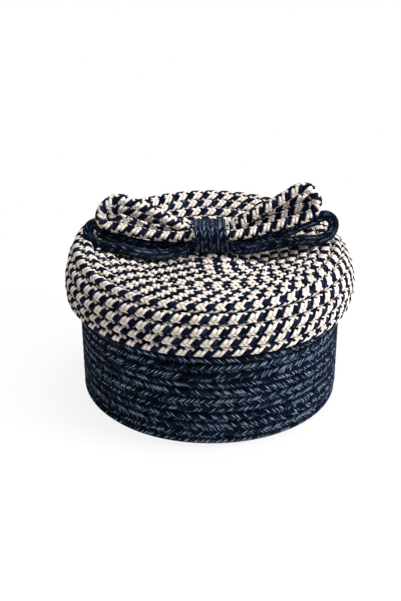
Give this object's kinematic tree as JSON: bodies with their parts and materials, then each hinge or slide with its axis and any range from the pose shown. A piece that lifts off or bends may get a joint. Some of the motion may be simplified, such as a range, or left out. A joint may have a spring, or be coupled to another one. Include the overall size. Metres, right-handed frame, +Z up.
{
  "type": "lidded coiled rope basket",
  "caption": "Round lidded storage basket of coiled, sewn rope: straight navy body, bulging two-tone lid with a dished crown and a cinched rope bow.",
  "frame": {"origin": "centre of the flat underside of the basket, on the surface that it stands on", "axes": "+Z up, the way the lid lifts off; +X along the bow, to the viewer's right; -Y towards the viewer"},
  "size_m": [0.2717, 0.2717, 0.2075],
  "materials": {
    "navy_braid": "matt braided yarn, navy with pale flecks",
    "two_tone_rope": "matt braided yarn, cream and navy"
  },
  "bodies": {
    "basket": {"basket_body": "navy_braid"},
    "lid": {"lid_shell": "two_tone_rope", "bow_lower_rope": "navy_braid", "bow_front_rope": "two_tone_rope", "bow_back_rope": "two_tone_rope", "bow_knot_wrap": "navy_braid"}
  },
  "joints": [
    {"name": "lid_lift", "type": "slide", "parent": "basket", "child": "lid", "axis": [0, 0, 1], "range_m": [0, 0.12]}
  ]
}
